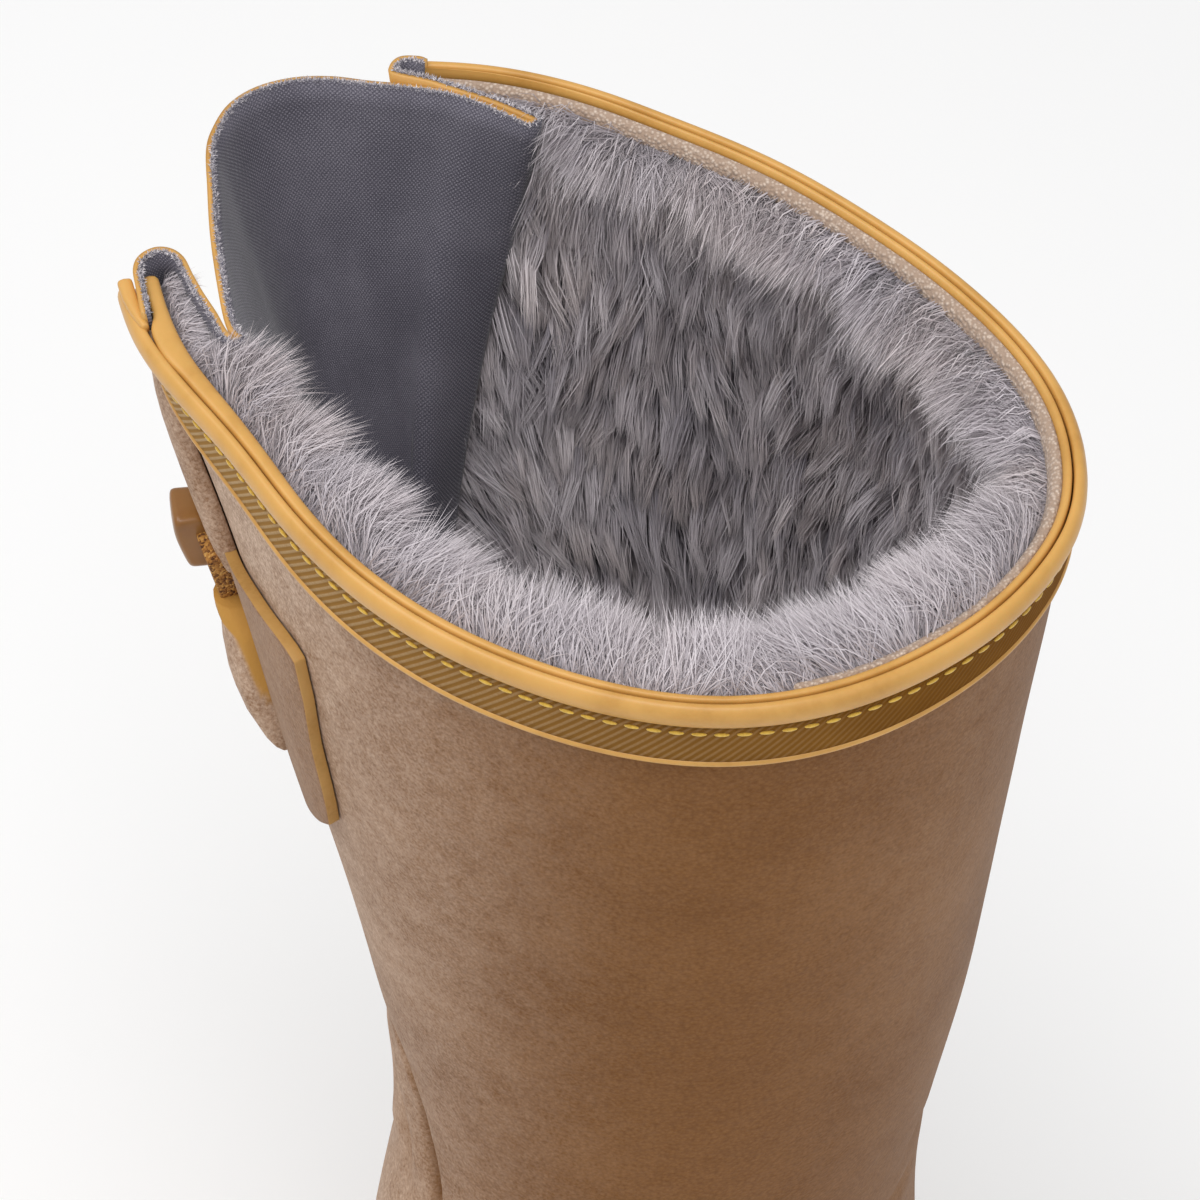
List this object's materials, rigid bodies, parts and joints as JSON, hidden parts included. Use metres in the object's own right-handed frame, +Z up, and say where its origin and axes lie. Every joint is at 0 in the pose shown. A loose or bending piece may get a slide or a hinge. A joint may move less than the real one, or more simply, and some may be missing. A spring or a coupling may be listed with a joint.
{
  "type": "rain boot",
  "caption": "Tall right rubber rain boot with a deep fur lining and a side slit closed by a folded gusset, a shield, and a short buckled strap.",
  "frame": {"origin": "on the floor under the middle of the bounding box, boot standing on its sole", "axes": "+Z up the shaft, toe towards -Y, heel towards +Y, lateral side towards -X"},
  "size_m": [0.1691, 0.275, 0.355],
  "materials": {
    "sole_rubber": "matte, fine grain",
    "tan_rubber": "matte natural rubber with a pale dusty bloom, grey fur inside",
    "insole_fleece": "grey fleece",
    "gusset_sheet": "matte, dark knit jersey inside",
    "rim_rubber": "smooth satin ochre",
    "woven_tape": "herringbone weave",
    "patch_rubber": "matte with a pale dusty bloom",
    "cork_strap": "coarse cork-like grain",
    "buckle_moulding": "smooth satin"
  },
  "bodies": {
    "root": {"outsole": "sole_rubber", "upper": "tan_rubber", "insole": "insole_fleece", "gusset": "gusset_sheet", "rim_roll": "rim_rubber", "collar_band": "woven_tape", "slit_patch": "patch_rubber", "slit_roll": "patch_rubber", "strap_keeper": "patch_rubber", "strap": "cork_strap", "buckle": "buckle_moulding"}
  },
  "joints": []
}
